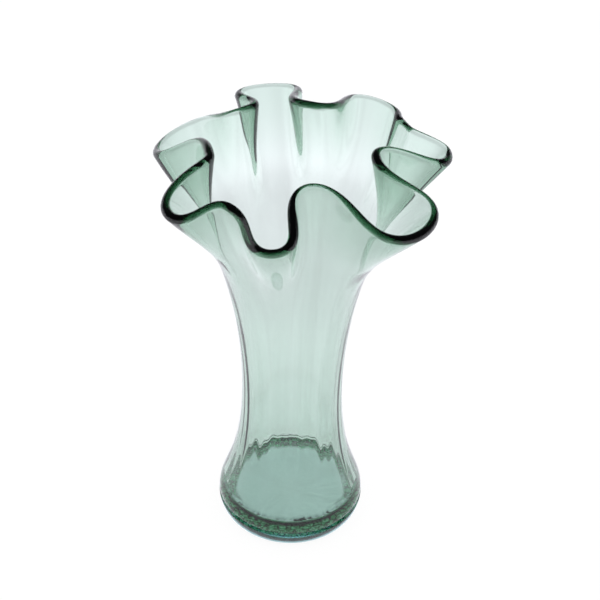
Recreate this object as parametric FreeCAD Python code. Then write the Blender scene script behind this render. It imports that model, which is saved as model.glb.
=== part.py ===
import FreeCAD, Part
import math
import os

# A tall hand-blown glass vase with a ruffled, seven-lobed mouth. Sizes are in millimetres.
# The origin is the middle of the standing ring, +Z points up and -Y faces the viewer.

# Driving dimensions
rim_height = 298.1          # tallest fold, at the middle of the round lip
lobe_reach = 98.6           # from the axis to the furthest lobe, at the middle of the round lip
foot_radius = 48.0          # widest part of the vase below the waist
foot_height = 14.0          # top face of the thick foot pad
standing_radius = 41.5      # outer edge of the ring that the vase stands on
recess_radius = 33.0        # inner edge of that ring
recess_depth = 2.4          # shallow hollow ground under the foot
waist_radius = 32.7         # narrowest outside radius
waist_height = 105.0
neck_radius = 37.0          # outside radius where the ruffles begin
neck_height = 163.0
floor_height = 20.0         # inside floor above the table
floor_fillet = 3.0          # rounding between the floor and the inner wall
foot_wall = 4.6             # wall thickness beside the floor
thin_wall = 3.0             # wall thickness in the flare, where the glass was stretched
rim_wall = 6.0              # wall thickness under the lip, where the glass gathered again
lip_radius = 3.1            # rounded lip along the rim
shoulder = 0.8              # bevel on the pad's upper edge, which leaves a fine groove
flute_depth = 0.5           # the soft optic flutes swing this far in and out beside the floor

# Shape of the outline between those sizes, in shares
foot_pull_share = 0.17      # how long the wall stays upright above the foot
waist_pull_share = 0.69     # how long it stays upright below the waist
neck_slope_share = 0.15     # outward lean at the neck
flare_pull_share = 0.43     # how far the flare keeps its first direction
flare_curl_share = 1.36     # how strongly a lobe goes on curling outwards at the rim
fold_tuck_share = 0.244     # how far every line leans back in at the rim, as an angle in radians
flare_turn_share = 2.6      # how late the glass turns sideways into the lobes
pad_bulge_share = 0.68      # how full the pad's edge is halfway up

# The ruffle, once round anticlockwise seen from above, lobe and fold by turns. Each row gives
# where the lobe or fold stands in degrees, how far out it reaches as a share of lobe_reach,
# how high it is as a share of rim_height, and how far its loop swells sideways in degrees.
ruffle_shares = [
    (-221.8, 0.998, 0.864, 8.7),
    (-171.0, 0.531, 0.970, -0.3),
    (-135.5, 1.000, 0.968, 0.7),
    (-120.2, 0.795, 0.993, 1.5),
    (-101.9, 0.782, 0.901, 4.4),
    (-80.2, 0.525, 1.000, 3.4),
    (-40.4, 0.982, 0.927, 4.4),
    (-4.2, 0.481, 0.969, 4.6),
    (14.9, 0.956, 0.919, -0.1),
    (29.8, 0.794, 0.937, 1.6),
    (54.9, 0.905, 0.925, 4.3),
    (75.1, 0.441, 0.982, 7.9),
    (108.5, 0.901, 0.929, 3.8),
    (123.7, 0.580, 0.958, 3.6),
]

# Counts
flutes = 12                 # optic flutes round the inner wall
flute_points = 12           # points that draw one flute
ring_points = flutes * flute_points
wave_steps = 60             # steps along each half wave when the rim is measured
bead_sides = 6              # flats round the lip bead

# The rings that the skins are drawn through, as stages: 0 foot, 1 waist, 2 neck, 3 rim
foot_stage_shares = [0.05, 0.2, 0.4, 0.6, 0.8]
waist_stage_shares = [1.0, 1.5]
flare_stage_shares = [2.0, 2.2, 2.4, 2.55, 2.68, 2.8, 2.9]
lip_start_share = 2.6       # stage where the wall starts to thicken towards the lip
flat_share = 1e-9           # four corners lie flat if they leave their plane by less than this share


def bezier(start, first, second, end, share):
    """Point of a cubic curve in the plane of radius and height."""
    rest = 1 - share
    weights = (rest ** 3, 3 * rest * rest * share, 3 * rest * share * share, share ** 3)
    corners = (start, first, second, end)
    radius = sum(weight * corner[0] for weight, corner in zip(weights, corners))
    height = sum(weight * corner[1] for weight, corner in zip(weights, corners))
    return radius, height


def spot(angle, radius, height):
    """Point at an angle round the axis."""
    return FreeCAD.Vector(radius * math.cos(angle), radius * math.sin(angle), height)


def rim_table():
    """Fine polyline of the rim as (angle, radius, height), closed on itself.

    Between a lobe and a fold the reach and the height follow half a cosine wave. The angle runs
    evenly, plus a sine that swells the loop, so that a lobe is rounder than a plain wave.
    """
    table = []
    for index, (angle, reach, height, swell) in enumerate(ruffle_shares):
        ahead = ruffle_shares[(index + 1) % len(ruffle_shares)]
        turn = (ahead[0] - angle) % 360
        for step in range(wave_steps):
            share = step / wave_steps
            blend = (1 - math.cos(math.pi * share)) / 2
            here = angle + turn * share + swell * math.sin(2 * math.pi * share)
            radius = lobe_reach * (reach + (ahead[1] - reach) * blend)
            level = rim_height * (height + (ahead[2] - height) * blend)
            table.append((math.radians(here), radius, level))
    table.append((table[0][0] + 2 * math.pi, table[0][1], table[0][2]))
    return table


rim = rim_table()
lengths = [0]
for before, after in zip(rim, rim[1:]):
    lengths.append(lengths[-1] + (spot(*after) - spot(*before)).Length)
# The glass was an even tube once, so equal lengths of rim come from equal arcs of the neck.
leads = [row[0] - 2 * math.pi * way / lengths[-1] for row, way in zip(rim, lengths)]
mean_lead = sum(leads) / len(leads)


def rim_at(share):
    """Rim point (angle, radius, height) at a share of the rim's length."""
    laps = math.floor(share)
    wanted = (share - laps) * lengths[-1]
    low = 0
    high = len(lengths) - 1
    while high - low > 1:
        middle = (low + high) // 2
        if lengths[middle] <= wanted:
            low = middle
        else:
            high = middle
    part = (wanted - lengths[low]) / (lengths[high] - lengths[low])
    mixed = [first + (last - first) * part for first, last in zip(rim[low], rim[high])]
    return mixed[0] + 2 * math.pi * laps, mixed[1], mixed[2]


def wall_at(stage):
    """Wall thickness: it thins evenly from the foot, then gathers smoothly again towards the lip."""
    thinned = foot_wall + (thin_wall - foot_wall) * min(stage / lip_start_share, 1)
    gather = max((stage - lip_start_share) / (3 - lip_start_share), 0)
    return thinned + (rim_wall - thin_wall) * gather * gather * (3 - 2 * gather)


def middle_skin(share, stage):
    """Point halfway through the wall, at a share of the way round and a stage of the way up."""
    lead = 2 * math.pi * share + mean_lead
    half = wall_at(stage) / 2
    if stage < 1:
        gap = waist_height - foot_height
        start = (foot_radius, foot_height)
        first = (foot_radius, foot_height + foot_pull_share * gap)
        second = (waist_radius, waist_height - waist_pull_share * gap)
        radius, height = bezier(start, first, second, (waist_radius, waist_height), stage)
        return spot(lead, radius - half, height)
    if stage < 2:
        gap = (neck_height - waist_height) / 3
        start = (waist_radius, waist_height)
        first = (waist_radius, waist_height + gap)
        second = (neck_radius - neck_slope_share * gap, neck_height - gap)
        radius, height = bezier(start, first, second, (neck_radius, neck_height), stage - 1)
        return spot(lead, radius - half, height)
    angle, reach, top = rim_at(share)
    start = (neck_radius - wall_at(2) / 2, neck_height)
    lean = math.atan(neck_slope_share)
    way = math.atan2(reach - start[0], top - neck_height)
    curl = way + (way - lean) * flare_curl_share - fold_tuck_share
    pull = flare_pull_share * math.hypot(reach - start[0], top - neck_height)
    first = (start[0] + pull * math.sin(lean), neck_height + pull * math.cos(lean))
    second = (reach - pull * math.sin(curl), top - pull * math.cos(curl))
    radius, height = bezier(start, first, second, (reach, top), stage - 2)
    return spot(lead + (angle - lead) * (stage - 2) ** flare_turn_share, radius, height)


def frame_at(share, stage):
    """Middle point, outward normal, and the direction in the wall that leads up to the rim."""
    step = 0.5 / len(rim)
    along = middle_skin(share + step, stage) - middle_skin(share - step, stage)
    rise = middle_skin(share, min(stage + step, 3)) - middle_skin(share, max(stage - step, 0))
    normal = along.cross(rise)
    normal.normalize()
    edge = normal.cross(along)
    edge.normalize()
    return middle_skin(share, stage), normal, edge


shares = [index / ring_points for index in range(ring_points)]


def wall_ring(stage, side):
    """Ring on the outer (side 1) or inner (side -1) face of the wall.

    The inner face swings in and out with the flutes, which fade away from the foot to the rim.
    """
    ring = []
    for share in shares:
        middle, normal, edge = frame_at(share, stage)
        offset = side * wall_at(stage) / 2
        if side < 0:
            offset += flute_depth * (1 - stage / 3) * math.cos(2 * math.pi * flutes * share)
        ring.append(middle + normal * offset)
    return ring


def lip_ring(across, up):
    """Ring beside the middle of the lip bead: so far across the wall and so far up along it."""
    ring = []
    for share in shares:
        middle, normal, edge = frame_at(share, 3)
        ring.append(middle + normal * across + edge * up)
    return ring


def flat_ring(radius, height, swing):
    """Level ring, numbered like the others, whose radius swings with the flutes."""
    ring = []
    for share in shares:
        flute = swing * math.cos(2 * math.pi * flutes * share)
        ring.append(spot(2 * math.pi * share + mean_lead, radius + flute, height))
    return ring


def panel(corners):
    """Flat face with these corners."""
    return Part.Face(Part.makePolygon(corners + corners[:1]))


def skin_between(lower, upper):
    """Flat panels from one ring up to the next, cut on the shorter diagonal where they twist."""
    panels = []
    for index in range(ring_points):
        beside = (index + 1) % ring_points
        left, right = lower[index], lower[beside]
        top_left, top_right = upper[index], upper[beside]
        normal = (right - left).cross(top_left - left).normalize()
        if abs(normal.dot(top_right - left)) < flat_share * (top_right - left).Length:
            panels.append(panel([left, right, top_right, top_left]))
        elif (top_right - left).Length < (top_left - right).Length:
            panels.append(panel([left, right, top_right]))
            panels.append(panel([left, top_right, top_left]))
        else:
            panels.append(panel([left, right, top_left]))
            panels.append(panel([right, top_right, top_left]))
    return panels


def skin(rings):
    """Panels through a row of rings."""
    panels = []
    for lower, upper in zip(rings, rings[1:]):
        panels += skin_between(lower, upper)
    return panels


def closed_solid(faces):
    """One solid from faces that meet edge to edge."""
    shell = Part.makeShell(faces)
    shell.sewShape()
    solid = Part.Solid(shell)
    if solid.Volume < 0:
        solid.reverse()
    return solid


# The wall ends inside the lip bead, where its two edges lie on the bead's round section
lip_sink = math.sqrt(lip_radius ** 2 - (rim_wall / 2) ** 2)
outer_edge = lip_ring(rim_wall / 2, -lip_sink)
inner_edge = lip_ring(-rim_wall / 2, -lip_sink)
lip_seat = skin_between(outer_edge, inner_edge)

# Body: the blown and ruffled wall with its inside floor, flat underneath where the pad joins it
outer_rings = [flat_ring(foot_radius - shoulder, foot_height, 0)]
for stage in foot_stage_shares + waist_stage_shares + flare_stage_shares:
    outer_rings.append(wall_ring(stage, 1))
outer_rings.append(outer_edge)
floor_radius = foot_radius - foot_wall
inner_rings = [flat_ring(floor_radius - floor_fillet, floor_height, flute_depth)]
inner_rings.append(flat_ring(floor_radius, floor_height + floor_fillet, flute_depth))
for stage in foot_stage_shares + waist_stage_shares + flare_stage_shares:
    if middle_skin(0, stage).z > floor_height + 2 * floor_fillet:
        inner_rings.append(wall_ring(stage, -1))
inner_rings.append(inner_edge)
body_faces = skin(outer_rings) + skin(inner_rings) + lip_seat
body_faces += [panel(outer_rings[0]), panel(inner_rings[0])]
vase_body = closed_solid(body_faces)

# Lip bead: a round section wrapped over the edge of the wall
half_opening = math.asin(rim_wall / 2 / lip_radius)
bead_rings = []
for side in range(1, bead_sides):
    turn = half_opening + (2 * math.pi - 2 * half_opening) * side / bead_sides
    bead_rings.append(lip_ring(lip_radius * math.sin(turn), -lip_radius * math.cos(turn)))
lip_wrap = closed_solid(skin([outer_edge] + bead_rings + [inner_edge]) + lip_seat)

# Foot pad: a thick disc, turned round the axis, with a standing ring and a hollow underside
edge_radius = standing_radius + (foot_radius - standing_radius) * pad_bulge_share
hollow = FreeCAD.Vector(0, 0, recess_depth)
ring_inside = FreeCAD.Vector(recess_radius, 0, 0)
ring_outside = FreeCAD.Vector(standing_radius, 0, 0)
edge_middle = FreeCAD.Vector(edge_radius, 0, foot_height / 2)
edge_top = FreeCAD.Vector(foot_radius, 0, foot_height - shoulder)
seat_edge = FreeCAD.Vector(foot_radius - shoulder, 0, foot_height)
seat_middle = FreeCAD.Vector(0, 0, foot_height)
outline = [
    Part.makeLine(hollow, ring_inside),
    Part.makeLine(ring_inside, ring_outside),
    Part.Arc(ring_outside, edge_middle, edge_top).toShape(),
    Part.makeLine(edge_top, seat_edge),
    Part.makeLine(seat_edge, seat_middle),
    Part.makeLine(seat_middle, hollow),
]
section = Part.Face(Part.Wire(outline))
foot_pad = section.revolve(FreeCAD.Vector(0, 0, 0), FreeCAD.Vector(0, 0, 1), 360)

os.makedirs("parts", exist_ok=True)
vase_body.exportStep("parts/vase_body.step")
foot_pad.exportStep("parts/foot_pad.step")
lip_wrap.exportStep("parts/lip_wrap.step")

for name, shape in (("vase_body", vase_body), ("foot_pad", foot_pad), ("lip_wrap", lip_wrap)):
    print(name, "valid", shape.isValid(), "faces", len(shape.Faces), "volume", round(shape.Volume))
print("rim length", round(lengths[-1]))
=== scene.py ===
import bpy
import numpy as np
from mathutils import Matrix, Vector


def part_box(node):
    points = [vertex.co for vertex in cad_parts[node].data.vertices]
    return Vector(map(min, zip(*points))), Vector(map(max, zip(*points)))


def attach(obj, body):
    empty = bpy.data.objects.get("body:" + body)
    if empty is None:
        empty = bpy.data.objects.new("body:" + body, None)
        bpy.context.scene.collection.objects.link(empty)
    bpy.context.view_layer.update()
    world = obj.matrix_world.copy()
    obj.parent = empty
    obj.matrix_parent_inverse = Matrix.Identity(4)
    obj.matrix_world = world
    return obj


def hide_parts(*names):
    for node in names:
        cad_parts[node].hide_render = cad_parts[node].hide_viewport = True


# A tall hand-blown glass vase with a ruffled, seven-lobed mouth. Sizes are in metres.
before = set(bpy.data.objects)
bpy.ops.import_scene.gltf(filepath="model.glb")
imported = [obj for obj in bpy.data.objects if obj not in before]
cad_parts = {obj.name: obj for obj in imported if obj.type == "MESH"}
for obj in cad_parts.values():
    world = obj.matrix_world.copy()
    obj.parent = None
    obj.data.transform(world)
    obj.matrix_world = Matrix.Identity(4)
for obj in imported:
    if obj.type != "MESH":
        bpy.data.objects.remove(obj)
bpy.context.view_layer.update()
mm = 0.001

# Sizes read from the frame
pad_low, pad_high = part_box("foot_pad")
foot_radius = (pad_high.x - pad_low.x) / 2
foot_height = pad_high.z

# Driving sizes of the wall, as in the solids
rim_height = 298.0 * mm
thin_wall = 3.0 * mm        # the flare where the glass was stretched, before it thickens at the lip
lip_start = 2.6            # stage where the wall starts to thicken towards the lip
lobe_reach = 98.4 * mm
waist_radius = 32.7 * mm
waist_height = 105.0 * mm
neck_radius = 37.0 * mm
neck_height = 163.0 * mm
floor_height = 20.0 * mm    # inside floor above the table
floor_fillet = 3.0 * mm
foot_wall = 4.6 * mm
rim_wall = 6.0 * mm
shoulder = 0.8 * mm
standing_radius = 41.5 * mm
recess_radius = 33.0 * mm
recess_depth = 2.4 * mm
flute_depth = 0.5 * mm      # furthest swing of the inner face beside the floor
foot_pull = 0.17            # how long the wall stays upright above the foot
waist_pull = 0.69           # and below the waist
neck_slope = 0.15           # outward lean at the neck
flare_pull = 0.43           # how far the flare keeps its first direction
flare_curl = 1.36           # how strongly a lobe goes on curling outwards at the rim
fold_tuck = np.radians(14)  # how far every line leans back in at the rim
flare_turn = 2.6            # how late the glass turns sideways into the lobes
pad_round = 0.8             # how soon the pad's edge bulges above the table

# The crackled ring in the seat of the foot
crackle_start = 40 * mm     # its inner radius
crackle_cell = 3.2 * mm
crackle_depth = 0.9 * mm
crackle_slope = 0.6         # width of a cell's sloping edge, as a share of the cell
crackle_fade_in = 1 * mm
crackle_fade_out = 0.4 * mm
crackle_least = 0.3         # lift of the lowest cell, as a share of the highest
crackle_seed = 7
frost_share = 0.8           # how much of the light that meets the crackle soaks through it
# Radii between which the frost sets in, in the body's seat and in the pad, and the heights between
# which it sets in and ends in the pad
seat_frost = (35 * mm, 38 * mm)
pad_frost = (40 * mm, 41 * mm)
pad_frost_low = (foot_height - 2.6 * mm, foot_height - 1.6 * mm)
pad_frost_high = (foot_height - 0.05 * mm, foot_height - 0.06 * mm)
frost_grain = 3.3333 * mm
frost_cell = 4.7619 * mm
frost_crack = 0.14          # half width of a crack, as a share of a frost cell
frost_dark = 0.22           # how far a crack darkens the tone
frost_greens = ((0.3, "#043A1C"), (0.45, "#38B46C"), (0.62, "#A0F2C0"))
seam_gap = 0.03 * mm        # air left between two gathers of glass, so that their faces never touch
tint_depth = 10 * mm        # depth of glass after which white light has the tint's colour

# The flutes: cosine waves whose depth and place drift round the vase, under a finer ripple
flutes = 12
flute_mean = 0.4
flute_spread = 0.2
spread_waves = 5
spread_lead = 1
flute_drift = 0.3
drift_waves = 3
ripple = 0.1
ripples = 31

# Rings and points of the meshes
around = flutes * 40        # points of every ring
foot_rows = 18
waist_rows = 13
flare_rows = 45
lip_rows = 16
corner_rows = 6
crackle_rows = 34
edge_rows = 20
outer_start = 0.03          # stage where the outer face leaves the seat
inner_start = 0.2           # stage where the inner face leaves the rounding of the floor

# The studio: a table that the camera sees as white, pale round about and almost black overhead
table_reach = 6.0
table_drop = 0.1 * mm       # how far the table lies under the foot
table_share = 0.9           # how much of the table glows for the camera and the glass
paper_white = 0.9
table_white = 1.04          # strength of the table as the camera sees it
table_glow = 1.3            # strength that the tones below are shares of, as the glass shows it
table_span = 0.5            # radius that the places below are shares of
# Shares of the glow by distance from the vase: the darker ring about 0.2 to 0.35 m out is painted shade
# round the vase
painted_shade_tones = ((0.0, 0.9), (0.3, 0.87), (0.5, 0.70), (0.64, 0.72), (0.9, 0.96))
painted_streak_scale = 9.0            # scale of the noise of the painted streaks of light and shade on a circle of radius 1, which has no unit
painted_streak_noise = (0.35, 0.65)   # values of that noise for the darkest and the brightest painted streaks
# The glow that glass shows of the table is multiplied by these at the darkest and the brightest painted
# streaks
painted_streak_low = 0.94
painted_streak_high = 1.06
room_tone = (1.0, 1.0, 1.07, 1)     # what glass shows of the table and of the world's horizon
sky_tone = (0.05, 0.05, 0.055, 1)   # and of the world overhead
sky_low = 0.05              # height of a direction where the world starts to darken
sky_high = 0.4

# Ruffle: angle in degrees, reach as a share of lobe_reach, height as a share of rim_height,
# sideways swell of the loop in degrees; lobe and fold by turns
ruffle = np.array([
    (-221.8, 0.998, 0.864, 8.7),
    (-171.0, 0.531, 0.970, -0.3),
    (-135.5, 1.000, 0.968, 0.7),
    (-120.2, 0.795, 0.993, 1.5),
    (-101.9, 0.782, 0.901, 4.4),
    (-80.2, 0.525, 1.000, 3.4),
    (-40.4, 0.982, 0.927, 4.4),
    (-4.2, 0.481, 0.969, 4.6),
    (14.9, 0.956, 0.919, -0.1),
    (29.8, 0.794, 0.937, 1.6),
    (54.9, 0.905, 0.925, 4.3),
    (75.1, 0.441, 0.982, 7.9),
    (108.5, 0.901, 0.929, 3.8),
    (123.7, 0.580, 0.958, 3.6),
])

shares = np.arange(around) / around


def linear(hex_colour):
    """Linear RGB of an sRGB hex colour."""
    value = np.array([int(hex_colour[i:i + 2], 16) for i in (1, 3, 5)]) / 255
    return np.where(value <= 0.04045, value / 12.92, ((value + 0.055) / 1.055) ** 2.4)


# Shapes

def rim_table():
    """Fine polyline of the rim: angle, radius and height, closed on itself.

    Between a lobe and a fold the reach and the height follow half a cosine wave. The angle runs
    evenly, plus a sine that swells the loop.
    """
    ahead = np.roll(ruffle, -1, axis=0)
    turn = (ahead[:, :1] - ruffle[:, :1]) % 360
    way = np.arange(400) / 400
    blend = (1 - np.cos(np.pi * way)) / 2
    angle = ruffle[:, :1] + turn * way + ruffle[:, 3:] * np.sin(2 * np.pi * way)
    reach = lobe_reach * (ruffle[:, 1:2] + (ahead[:, 1:2] - ruffle[:, 1:2]) * blend)
    height = rim_height * (ruffle[:, 2:3] + (ahead[:, 2:3] - ruffle[:, 2:3]) * blend)
    table = np.stack([np.radians(angle), reach, height], -1).reshape(-1, 3)
    return np.vstack([table, table[0] + [2 * np.pi, 0, 0]])


def spots(angle, radius, height):
    """Points at angles round the axis."""
    return np.stack(np.broadcast_arrays(radius * np.cos(angle), radius * np.sin(angle), height), -1)


rim = rim_table()
lengths = np.concatenate([[0], np.cumsum(np.linalg.norm(np.diff(spots(*rim.T), axis=0), axis=1))])
lengths = lengths / lengths[-1]
mean_lead = np.mean(rim[:, 0] - 2 * np.pi * lengths)


def rim_at(share):
    """Rim angle, radius and height at shares of the rim's length."""
    laps = np.floor(share)
    rest = share - laps
    angle, radius, height = (np.interp(rest, lengths, column) for column in rim.T)
    return angle + 2 * np.pi * laps, radius, height


def bezier(start, first, second, end, share):
    """Radius and height along a cubic curve."""
    rest = 1 - share
    weights = (rest ** 3, 3 * rest ** 2 * share, 3 * rest * share ** 2, share ** 3)
    corners = (start, first, second, end)
    radius = sum(weight * corner[0] for weight, corner in zip(weights, corners))
    height = sum(weight * corner[1] for weight, corner in zip(weights, corners))
    return radius, height


def wall_at(stage):
    """Wall thickness: it thins evenly from the foot (stage 0), then gathers towards the lip (stage 3).

    The gathering follows a smooth step.
    """
    thinned = foot_wall + (thin_wall - foot_wall) * np.clip(stage / lip_start, 0, 1)
    gather = np.clip((stage - lip_start) / (3 - lip_start), 0, 1)
    return thinned + (rim_wall - thin_wall) * gather ** 2 * (3 - 2 * gather)


def middle_skin(share, stage):
    """Points halfway through the wall: stage 0 foot, 1 waist, 2 neck, 3 rim.

    Up to the neck the skin is turned: two cubic curves in the plane of radius and height. Above
    it each upright line is a cubic curve from the neck to its own point of the rim, and turns
    evenly from its place on the neck to its place on the rim.
    """
    share, stage = np.broadcast_arrays(share, stage)
    lead = 2 * np.pi * share + mean_lead
    half = wall_at(stage) / 2
    gap = waist_height - foot_height
    low = bezier((foot_radius, foot_height), (foot_radius, foot_height + foot_pull * gap),
                 (waist_radius, waist_height - waist_pull * gap), (waist_radius, waist_height), stage)
    gap = (neck_height - waist_height) / 3
    mid = bezier((waist_radius, waist_height), (waist_radius, waist_height + gap),
                 (neck_radius - neck_slope * gap, neck_height - gap), (neck_radius, neck_height), stage - 1)
    angle, reach, top = rim_at(share)
    start = neck_radius - wall_at(2) / 2
    lean = np.arctan(neck_slope)
    way = np.arctan2(reach - start, top - neck_height)
    curl = way + (way - lean) * flare_curl - fold_tuck
    pull = flare_pull * np.hypot(reach - start, top - neck_height)
    high = bezier((start, neck_height), (start + pull * np.sin(lean), neck_height + pull * np.cos(lean)),
                  (reach - pull * np.sin(curl), top - pull * np.cos(curl)), (reach, top), stage - 2)
    radius = np.where(stage < 1, low[0] - half, np.where(stage < 2, mid[0] - half, high[0]))
    height = np.where(stage < 1, low[1], np.where(stage < 2, mid[1], high[1]))
    turned = lead + (angle - lead) * np.clip(stage - 2, 0, 1) ** flare_turn
    return spots(turned, radius, height)


def frames(share, stage):
    """Middle points, outward normals, and the directions in the wall that lead up to the rim."""
    step = 1e-4
    along = middle_skin(share + step, stage) - middle_skin(share - step, stage)
    rise = middle_skin(share, np.minimum(stage + step, 3)) - middle_skin(share, stage - step)
    normal = np.cross(along, rise)
    normal /= np.linalg.norm(normal, axis=-1, keepdims=True)
    edge = np.cross(normal, along)
    edge /= np.linalg.norm(edge, axis=-1, keepdims=True)
    return middle_skin(share, stage), normal, edge


def flute_swing(share):
    """How far the optic flutes swing the inner face, from about -1 to 1: no two are quite alike.

    A cosine wave whose depth follows one slow sine and whose place follows another, plus a
    finer cosine ripple.
    """
    turn = 2 * np.pi * share
    depth = flute_mean + flute_spread * np.sin(spread_waves * turn + spread_lead)
    wave = np.cos(flutes * turn + flute_drift * np.sin(drift_waves * turn))
    return depth * wave + ripple * np.cos(ripples * turn)


def wall_rings(stages, side):
    """Rings on the outer (side 1) or inner (side -1) face of the wall."""
    stages = np.asarray(stages)[:, None]
    middle, normal, edge = frames(shares[None], stages)
    offset = side * wall_at(stages) / 2 + 0 * shares[None]
    if side < 0:
        offset = offset + flute_depth * (1 - stages / 3) * flute_swing(shares)[None]
    return middle + normal * offset[..., None]


def lip_rings(across, up):
    """Rings beside the middle of the rim: distances across the wall and up along it."""
    middle, normal, edge = frames(shares, 3.0)
    across = np.asarray(across, float)[:, None, None]
    up = np.asarray(up, float)[:, None, None]
    return middle[None] + normal[None] * across + edge[None] * up


def flat_rings(radii, heights, swing=0.0):
    """Level rings whose radius may swing with the flutes."""
    radius = np.asarray(radii, float)[:, None] + swing * flute_swing(shares)[None]
    return spots(2 * np.pi * shares[None] + mean_lead, radius, np.asarray(heights, float)[:, None])


def crackle_lift(points):
    """Height of the crackle over the seam between body and pad, a seeded patchwork of cells.

    Each point takes the distances to its two nearest cell centres. Their difference is 0 on the
    line between two cells, where the lift is highest, and the lift falls from there by a smooth
    step. Every cell has its own height, and the lift fades out at both edges of the ring.
    """
    random = np.random.default_rng(crackle_seed)
    count = int(np.pi * (foot_radius ** 2 - crackle_start ** 2) / crackle_cell ** 2)
    radius = np.sqrt(random.uniform(crackle_start ** 2, foot_radius ** 2, count))
    turn = random.uniform(0, 2 * np.pi, count)
    centres = np.stack([radius * np.cos(turn), radius * np.sin(turn)], -1)
    tall = random.uniform(crackle_least, 1.0, count)
    flat = points[..., :2].reshape(-1, 2)
    apart = np.hypot(flat[:, None, 0] - centres[:, 0], flat[:, None, 1] - centres[:, 1])
    nearest = np.argpartition(apart, 1, axis=1)[:, :2]
    first, second = np.take_along_axis(apart, nearest, 1).T
    share = np.clip(np.abs(second - first) / (crackle_slope * crackle_cell), 0, 1)
    lift = crackle_depth * (1 - share ** 2 * (3 - 2 * share)) * tall[nearest[:, 0]]
    out = np.linalg.norm(flat, axis=1)
    fade_in = np.clip((out - crackle_start) / crackle_fade_in, 0, 1)
    fade_out = np.clip((foot_radius - shoulder - out) / crackle_fade_out, 0, 1)
    return (lift * (fade_in * fade_out)).reshape(points.shape[:-1])


def closed_skin(name, rings, low_pole, high_pole, sharp):
    """A mesh through a stack of rings, closed by a fan at each pole, with sharp edges on some rings.

    The rings go up the outer side and come back down the inner one, so faces point outwards.
    """
    count = len(rings)
    points = rings.reshape(-1, 3)
    ring = np.arange(count - 1)[:, None]
    spot = np.arange(around)[None]
    beside = (spot + 1) % around
    low = ring * around
    high = low + around
    quads = np.stack([low + spot, low + beside, high + beside, high + spot], -1)
    faces = quads.reshape(-1, 4).tolist()
    for pole, row, turn in ((low_pole, 0, 1), (high_pole, count - 1, -1)):
        points = np.vstack([points, pole])
        tip = np.full(around, len(points) - 1)
        fan = np.stack([beside[0] + row * around, spot[0] + row * around, tip], -1)
        faces += fan[:, ::turn].tolist()
    mesh = bpy.data.meshes.new(name)
    mesh.from_pydata(points.tolist(), [], faces)
    mesh.shade_smooth()
    ends = np.zeros(len(mesh.edges) * 2, np.int32)
    mesh.edges.foreach_get("vertices", ends)
    rows = ends.reshape(-1, 2) // around
    crease = (rows[:, 0] == rows[:, 1]) & np.isin(rows[:, 0], sharp)
    mesh.attributes.new("sharp_edge", "BOOLEAN", "EDGE").data.foreach_set("value", crease)
    mesh.update()
    piece = bpy.data.objects.new(name, mesh)
    bpy.context.scene.collection.objects.link(piece)
    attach(piece, "root")
    return piece


# Materials

def add_node(tree, kind, inputs=(), **settings):
    """One node with its settings; inputs maps socket names to values or to other nodes' sockets."""
    node = tree.nodes.new(kind)
    for key, value in settings.items():
        setattr(node, key, value)
    for socket, value in dict(inputs).items():
        if isinstance(value, bpy.types.NodeSocket):
            tree.links.new(value, node.inputs[socket])
        else:
            node.inputs[socket].default_value = value
    return node


def fill_ramp(ramp, stops):
    """Put stops, each a place and a linear colour, in place of a ramp's own two."""
    elements = ramp.color_ramp.elements
    for spot, colour in stops:
        elements.new(spot).color = (*colour, 1)
    elements.remove(elements[0])
    elements.remove(elements[-1])


def glass(name, tint, depth):
    """Clear soda-lime glass whose colour is what white light keeps after that depth of glass.

    By Beer's law the loss per metre is minus the logarithm of the tint over the depth. The
    volume's colour is one minus the loss over the density, kept just above black.
    """
    material = bpy.data.materials.new(name)
    material.use_nodes = True
    tree = material.node_tree
    tree.nodes.clear()
    loss = -np.log(linear(tint)) / depth
    highest_share = 0.98
    density = float(loss.max()) / highest_share
    kept = [float(1 - value / density) for value in loss]
    surface = add_node(tree, "ShaderNodeBsdfPrincipled", {
        "Base Color": (1, 1, 1, 1), "Roughness": 0.0, "IOR": 1.5, "Transmission Weight": 1.0})
    volume = add_node(tree, "ShaderNodeVolumeAbsorption", {"Color": (*kept, 1), "Density": density})
    add_node(tree, "ShaderNodeOutputMaterial", {
        "Surface": surface.outputs["BSDF"], "Volume": volume.outputs["Volume"]})
    return material


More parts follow.
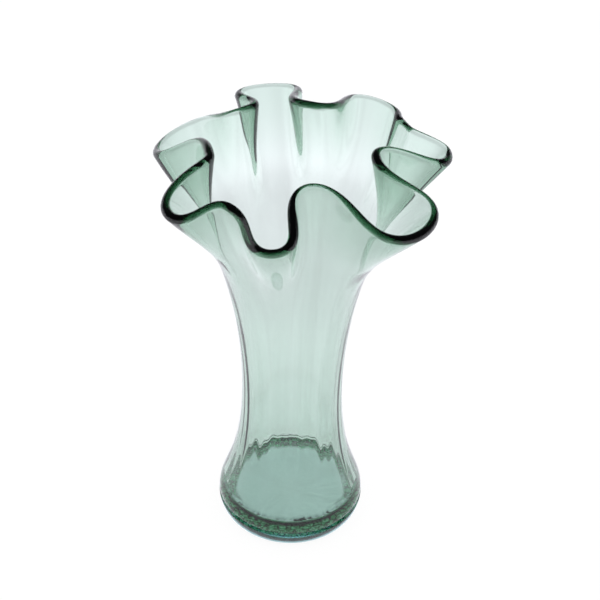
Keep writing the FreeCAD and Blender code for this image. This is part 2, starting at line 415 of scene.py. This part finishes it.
def frost(material, inner, outer, low, high):
    """Crazed, frosted green glass on the skin between two radii and between two heights.

    Each limit is a pair, from where the frost is none to where it is full. In it the tone
    follows a fine noise, darkened along the edges of a patchwork of cells, and light soaks
    through from behind.
    """
    tree = material.node_tree
    surface = next(node for node in tree.nodes if node.type == "BSDF_PRINCIPLED")
    place = add_node(tree, "ShaderNodeTexCoord").outputs["Object"]
    height = add_node(tree, "ShaderNodeSeparateXYZ", {0: place}).outputs["Z"]
    flat = add_node(tree, "ShaderNodeMapping", {"Vector": place, "Scale": (1, 1, 0)})
    out = add_node(tree, "ShaderNodeVectorMath", {0: flat.outputs[0]}, operation="LENGTH").outputs["Value"]
    zone = 1.0
    for value, start, end in ((out, *inner), (out, *outer), (height, *low), (height, *high)):
        fade = add_node(tree, "ShaderNodeMapRange", {"Value": value, "From Min": start, "From Max": end})
        both = add_node(tree, "ShaderNodeMath", {0: fade.outputs[0], 1: zone}, operation="MULTIPLY")
        zone = both.outputs[0]
    noise = add_node(tree, "ShaderNodeTexNoise", {
        "Vector": place, "Scale": 1 / frost_grain, "Detail": 3.0, "Roughness": 0.6, "Distortion": 1.5})
    cells = add_node(tree, "ShaderNodeTexVoronoi", {
        "Vector": place, "Scale": 1 / frost_cell}, feature="DISTANCE_TO_EDGE")
    crack = add_node(tree, "ShaderNodeMapRange", {
        "Value": cells.outputs["Distance"], "From Max": frost_crack, "To Min": -frost_dark, "To Max": 0.0})
    tone = add_node(tree, "ShaderNodeMath", {0: noise.outputs[0], 1: crack.outputs[0]}, operation="ADD")
    ramp = add_node(tree, "ShaderNodeValToRGB", {0: tone.outputs[0]})
    fill_ramp(ramp, [(spot, linear(colour)) for spot, colour in frost_greens])
    share = add_node(tree, "ShaderNodeMath", {0: zone, 1: frost_share}, operation="MULTIPLY")
    soaked = add_node(tree, "ShaderNodeBsdfTranslucent", {"Color": ramp.outputs[0]})
    mixed = add_node(tree, "ShaderNodeMixShader", {
        0: share.outputs[0], 1: surface.outputs["BSDF"], 2: soaked.outputs["BSDF"]})
    output = next(node for node in tree.nodes if node.type == "OUTPUT_MATERIAL")
    tree.links.new(mixed.outputs[0], output.inputs["Surface"])


# Blown body: soda-lime glass with a little iron, fire polished. Pale green through the wall, and
# almost black at the lip, which shows light that came a long way up along the sheet.
body_glass = glass("pale_green_blown_glass", "#B6CDBF", tint_depth)
# Gathered foot: cooler, bluer glass, thick enough to show its colour
foot_glass = glass("blue_green_gathered_glass", "#E7F3F3", tint_depth)
# The body's frost covers the crackled seat, from its underside to just above the highest cell
crackle_top = foot_height + crackle_depth
frost(body_glass, seat_frost, (foot_radius - 0.5 * shoulder, foot_radius - shoulder),
      (-1, 0), (crackle_top + 0.3 * mm, crackle_top + 0.2 * mm))
# The pad's frost covers its edge just under the seam, and not its flat top
frost(foot_glass, pad_frost, (1, 0.9), pad_frost_low, pad_frost_high)


# Body: outer face from the seat up, half round over the lip, inner face down, inside floor
foot_stages = np.linspace(outer_start, 1, foot_rows)
waist_stages = np.linspace(1, 2, waist_rows)[1:]
flare_stages = np.linspace(2, 3, flare_rows)[1:]
stages = np.concatenate([foot_stages, waist_stages, flare_stages])
outer = wall_rings(stages, 1)
inner = wall_rings(stages[stages > inner_start], -1)
turn = np.linspace(0, np.pi, lip_rows)[1:-1]
half_round = lip_rings(rim_wall / 2 * np.cos(turn), rim_wall / 2 * np.sin(turn))
floor_radius = foot_radius - foot_wall
turn = np.linspace(0, np.pi / 2, corner_rows)
corner = flat_rings(floor_radius - floor_fillet * (1 - np.cos(turn)),
                    floor_height + floor_fillet * (1 - np.sin(turn)), flute_depth)
floor_rings = flat_rings([floor_radius * 0.6, floor_radius * 0.3], [floor_height] * 2)
crackle_radii = np.linspace(crackle_start, foot_radius - shoulder, crackle_rows)
base_radii = np.concatenate([[foot_radius * 0.25, foot_radius * 0.5], crackle_radii])
base_rings = flat_rings(base_radii, [foot_height] * len(base_radii))
base_rings[..., 2] += crackle_lift(base_rings)
rings = np.concatenate([base_rings, outer, half_round, inner[::-1], corner, floor_rings])
vase_body = closed_skin("blown_body", rings, (0, 0, foot_height), (0, 0, floor_height),
                        sharp=[len(base_radii) - 1])
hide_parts("vase_body", "lip_wrap")
vase_body.data.materials.append(body_glass)

# Foot pad: hollow underside, standing ring, rounded edge and flat top
way = np.linspace(0, 1, edge_rows)
edge_radius = standing_radius + (foot_radius - standing_radius) * (way * (2 - way)) ** pad_round
edge_height = way * (foot_height - shoulder)
top = foot_height - seam_gap
hollow_radii = [recess_radius * 0.3, recess_radius * 0.6, recess_radius]
hollow_heights = [recess_depth * 0.7, recess_depth * 0.4, 0]
top_radii = [foot_radius - shoulder, foot_radius * 0.6, foot_radius * 0.3]
pad = flat_rings([*hollow_radii, *edge_radius, *top_radii], [*hollow_heights, *edge_height, top, top, top])
ring_low = len(hollow_radii) - 1
edge_top = ring_low + edge_rows
foot_pad = closed_skin("foot_pad_glass", pad, (0, 0, recess_depth), (0, 0, top),
                       sharp=[ring_low, ring_low + 1, edge_top, edge_top + 1])
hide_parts("foot_pad")
foot_pad.data.materials.append(foot_glass)


# Stage: a table and a studio that are white to the camera

def light_paths(tree):
    """Two masks: rays straight from the camera, and rays that glass reflects or lets through."""
    light = add_node(tree, "ShaderNodeLightPath")
    through = add_node(tree, "ShaderNodeMath", {
        0: light.outputs["Is Transmission Ray"], 1: light.outputs["Is Glossy Ray"]}, operation="MAXIMUM")
    return light.outputs["Is Camera Ray"], through.outputs[0]


table_mesh = bpy.data.meshes.new("table_top")
corners = table_reach * np.array([(-1, -1, 0), (1, -1, 0), (1, 1, 0), (-1, 1, 0)])
table_mesh.from_pydata(corners.tolist(), [], [(0, 1, 2, 3)])
table_top = bpy.data.objects.new("table_top", table_mesh)
table_top.location.z = -table_drop
bpy.context.scene.collection.objects.link(table_top)
paper = bpy.data.materials.new("white_table_paper")
paper.use_nodes = True
tree = paper.node_tree
tree.nodes.clear()
straight, through = light_paths(tree)
place = add_node(tree, "ShaderNodeTexCoord").outputs["Object"]
# White to the camera everywhere. What glass shows of it differs with the distance from the vase. A darker
# ring round the vase is painted shade, and the glow is the same all round except for soft painted streaks
# of light and shade that run outwards.
way = add_node(tree, "ShaderNodeVectorMath", {0: place}, operation="NORMALIZE")
noise = add_node(tree, "ShaderNodeTexNoise", {"Vector": way.outputs[0], "Scale": painted_streak_scale, "Detail": 1.0})
painted_streaks = add_node(tree, "ShaderNodeMapRange", {
    "Value": noise.outputs[0], "From Min": painted_streak_noise[0], "From Max": painted_streak_noise[1],
    "To Min": painted_streak_low, "To Max": painted_streak_high})
radius = add_node(tree, "ShaderNodeVectorMath", {0: place}, operation="LENGTH")
away = add_node(tree, "ShaderNodeMapRange", {"Value": radius.outputs["Value"], "From Max": table_span})
# Painted shade: the glow that glass shows dips in a ring round the vase
ramp = add_node(tree, "ShaderNodeValToRGB", {0: away.outputs[0]})
ramp.color_ramp.interpolation = "EASE"
fill_ramp(ramp, [(spot, (share, share, share)) for spot, share in painted_shade_tones])
ring_shaded_glow = add_node(tree, "ShaderNodeMath", {0: ramp.outputs[0], 1: table_glow}, operation="MULTIPLY")
# Painted streaks of light and shade in the glow that glass shows of the table
streaked_glow = add_node(tree, "ShaderNodeMath", {0: ring_shaded_glow.outputs[0], 1: painted_streaks.outputs[0]}, operation="MULTIPLY")
tone = add_node(tree, "ShaderNodeMix", {"Factor": straight, 2: streaked_glow.outputs[0], 3: table_white})
either = add_node(tree, "ShaderNodeMath", {0: straight, 1: through}, operation="MAXIMUM")
share = add_node(tree, "ShaderNodeMath", {0: either.outputs[0], 1: table_share}, operation="MULTIPLY")
matt = add_node(tree, "ShaderNodeBsdfDiffuse", {"Color": (paper_white, paper_white, paper_white, 1)})
white = add_node(tree, "ShaderNodeMix", {
    "Factor": straight, 6: room_tone, 7: (1, 1, 1, 1)}, data_type="RGBA")
glow = add_node(tree, "ShaderNodeEmission", {"Color": white.outputs[2], "Strength": tone.outputs[0]})
mixed = add_node(tree, "ShaderNodeMixShader", {
    0: share.outputs[0], 1: matt.outputs[0], 2: glow.outputs[0]})
add_node(tree, "ShaderNodeOutputMaterial", {"Surface": mixed.outputs[0]})
table_mesh.materials.append(paper)

# World: white to the camera and to matt surfaces. What glass shows of it darkens overhead.
world = bpy.data.worlds.new("studio")
bpy.context.scene.world = world
world.use_nodes = True
tree = world.node_tree
tree.nodes.clear()
straight, through = light_paths(tree)
way = add_node(tree, "ShaderNodeTexCoord").outputs["Generated"]
height = add_node(tree, "ShaderNodeSeparateXYZ", {0: way}).outputs["Z"]
raised = add_node(tree, "ShaderNodeMapRange", {
    "Value": height, "From Min": sky_low, "From Max": sky_high}, interpolation_type="SMOOTHSTEP")
ceiling = add_node(tree, "ShaderNodeMix", {
    "Factor": raised.outputs[0], 6: room_tone, 7: sky_tone}, data_type="RGBA")
shown = add_node(tree, "ShaderNodeMix", {
    "Factor": through, 6: (1, 1, 1, 1), 7: ceiling.outputs[2]}, data_type="RGBA")
sky = add_node(tree, "ShaderNodeBackground", {"Color": shown.outputs[2], "Strength": 1.0})
add_node(tree, "ShaderNodeOutputWorld", {"Surface": sky.outputs[0]})

# Camera at the photograph's viewing angle
distance = 1.281
elevation = np.radians(38.79)
roll = np.radians(1.29)
aim = np.array([3.84 * mm, 0, 174.9 * mm])
sensor_width = 36
focal_share = 2031.4 / 600  # focal length as a share of the picture's width, in pixels of both
back = np.array([0, -np.cos(elevation), np.sin(elevation)])
level_up = np.array([0, np.sin(elevation), np.cos(elevation)])
level_side = np.array([1.0, 0, 0])
side = np.cos(roll) * level_side + np.sin(roll) * level_up
up = np.cos(roll) * level_up - np.sin(roll) * level_side
eye = aim + back * distance
camera = bpy.data.objects.new("camera", bpy.data.cameras.new("camera"))
camera.data.sensor_width = sensor_width
camera.data.lens = focal_share * sensor_width
camera.matrix_world = Matrix(np.column_stack([side, up, back, eye]).tolist() + [[0, 0, 0, 1]])
bpy.context.scene.collection.objects.link(camera)
bpy.context.scene.camera = camera

# Light guided along the sheet bounces many times
cycles = bpy.context.scene.cycles
cycles.max_bounces = 32
cycles.transmission_bounces = 32
cycles.glossy_bounces = 24
bpy.context.scene.view_settings.view_transform = "Standard"
